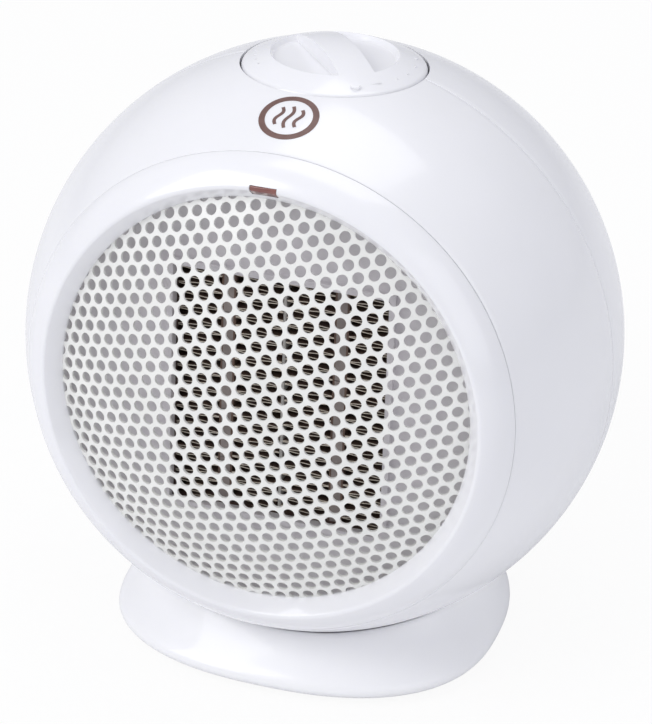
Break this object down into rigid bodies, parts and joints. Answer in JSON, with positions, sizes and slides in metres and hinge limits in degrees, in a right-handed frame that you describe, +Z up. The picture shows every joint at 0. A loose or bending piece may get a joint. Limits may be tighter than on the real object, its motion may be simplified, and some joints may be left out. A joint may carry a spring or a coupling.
{
  "type": "ceramic fan heater",
  "caption": "Ball-shaped tabletop ceramic fan heater with a domed perforated outlet grille, a control knob on top and a low saddle base on which the head tilts.",
  "frame": {"origin": "on the floor, below the middle of the whole outline", "axes": "+Z up, the outlet faces -Y, +X to the right of someone who looks at the outlet"},
  "size_m": [0.23, 0.1996, 0.2388],
  "materials": {
    "gloss_white": "moulded, glossy",
    "base_white": "moulded, satin gloss",
    "grille_paint": "warm white powder coat",
    "baffle_grey": "satin",
    "lens_brown": "clear brown, glossy",
    "lamp_glass": "clear",
    "ceramic": "fired ceramic",
    "fin_aluminium": "rolled strip",
    "frame_dark": "glass-filled nylon",
    "spacer_white": "silicone",
    "black_plastic": "moulded",
    "fan_white": "moulded",
    "zinc_steel": "zinc plated",
    "ground_steel": "ground",
    "bronze": "sintered",
    "nickel_brass": "nickel plated",
    "grey_rubber": "moulded"
  },
  "bodies": {
    "base": {"base_shell": "base_white", "base_plate": "black_plastic", "rubber_feet": "grey_rubber", "base_screws": "zinc_steel", "tip_switch": "black_plastic", "tilt_shoe": "ground_steel", "tilt_bolt": "zinc_steel", "tilt_washers": "zinc_steel", "tilt_nut": "zinc_steel"},
    "head": {"bracket_screws": "zinc_steel", "cord_gland": "grey_rubber", "core_spacer": "spacer_white", "electrode_plates": "fin_aluminium", "fan_duct": "frame_dark", "front_housing": "gloss_white", "front_ring": "gloss_white", "grille": "grille_paint", "heater_fins": "fin_aluminium", "heater_frame": "frame_dark", "housing_screws": "zinc_steel", "indicator_lamp": "lamp_glass", "indicator_lens": "lens_brown", "inlet_screen": "ground_steel", "motor_bearings": "bronze", "motor_bracket": "zinc_steel", "motor_can": "zinc_steel", "outlet_baffle": "baffle_grey", "ptc_stones": "ceramic", "rear_housing": "gloss_white", "rotary_switch": "black_plastic", "switch_nut": "nickel_brass", "switch_plate": "zinc_steel", "thermal_cutout": "zinc_steel"},
    "knob": {"control_knob": "gloss_white", "switch_shaft": "ground_steel"},
    "fan": {"impeller": "fan_white", "fan_nut": "zinc_steel", "motor_shaft": "ground_steel", "motor_rotor": "ground_steel"},
    "plunger": {"tip_plunger": "fan_white"}
  },
  "joints": [
    {"name": "head_tilt", "type": "hinge", "parent": "base", "child": "head", "pos_m": [0, -0.0152, 0.121], "axis": [-1, 0, 0], "range_deg": [-5.6, 6]},
    {"name": "knob_turn", "type": "hinge", "parent": "head", "child": "knob", "pos_m": [0, -0.0152, 0.121], "axis": [0, -0.0976, -0.9952], "range_deg": [0, 240]},
    {"name": "fan_spin", "type": "hinge", "parent": "head", "child": "fan", "pos_m": [0, -0.0152, 0.121], "axis": [0, -0.9952, 0.0976], "continuous": true},
    {"name": "plunger_slide", "type": "slide", "parent": "base", "child": "plunger", "axis": [0, 0, -1], "range_m": [0, 0.0025], "stiffness_N_per_m": 60, "springref_m": 0.0025}
  ]
}
